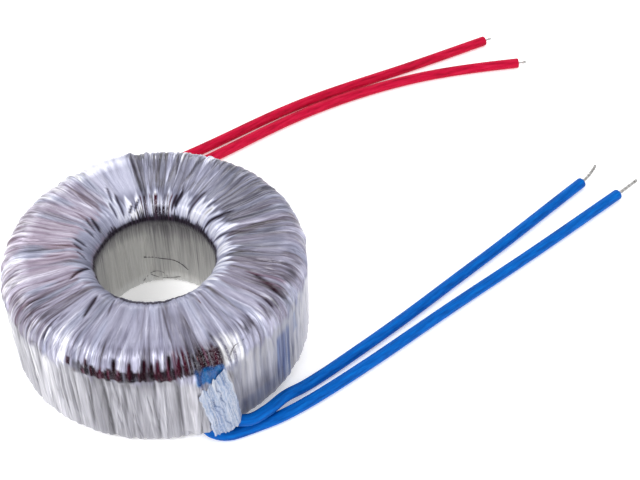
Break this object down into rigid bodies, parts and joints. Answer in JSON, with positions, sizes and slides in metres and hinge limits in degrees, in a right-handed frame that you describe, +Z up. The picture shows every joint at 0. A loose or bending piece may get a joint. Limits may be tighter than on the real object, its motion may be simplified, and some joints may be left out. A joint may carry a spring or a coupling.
{
  "type": "toroidal transformer",
  "caption": "Ring-shaped mains transformer wrapped in clear pleated polyester film, with a pair of blue and a pair of red insulated leads that end in bare tinned wire.",
  "frame": {"origin": "centre of the ring's lower face, on the winding axis, on the surface it stands on", "axes": "+Z up along the winding axis; -Y towards the blue leads' exit, which is 13 degrees round from it towards +X; the leads run towards +X"},
  "size_m": [0.1459, 0.1178, 0.0251],
  "materials": {
    "strip_steel": "grain-oriented silicon steel strip, wound and stress-relieved",
    "cap_nylon": "moulded nylon caps, natural colour",
    "inner_copper": "enamelled copper wire in many fine layers",
    "inner_film": "clear polyester film between the windings",
    "outer_copper": "enamelled copper wire, dark red enamel",
    "wrap_film": "clear polyester film in several lapped and pleated layers",
    "splice_pad": "adhesive polyester pad",
    "sleeve_blue": "blue heat-shrink sleeve",
    "sleeve_red": "red heat-shrink sleeve",
    "lead_blue": "blue extruded PVC insulation",
    "lead_red": "red extruded PVC insulation",
    "tinned_wire": "tinned copper strands"
  },
  "bodies": {
    "root": {"core": "strip_steel", "core_cap_bottom": "cap_nylon", "core_cap_top": "cap_nylon", "inner_winding": "inner_copper", "interwinding_film": "inner_film", "outer_winding": "outer_copper", "outer_wrap": "wrap_film", "splice_pad_blue": "splice_pad", "splice_pad_red": "splice_pad", "splice_sleeve_blue_a": "sleeve_blue", "splice_sleeve_blue_b": "sleeve_blue", "splice_sleeve_red_a": "sleeve_red", "splice_sleeve_red_b": "sleeve_red", "lead_blue_a": "lead_blue", "lead_blue_b": "lead_blue", "lead_red_a": "lead_red", "lead_red_b": "lead_red", "lead_end_blue_a": "tinned_wire", "lead_end_blue_b": "tinned_wire", "lead_end_red_a": "tinned_wire", "lead_end_red_b": "tinned_wire"}
  },
  "joints": []
}
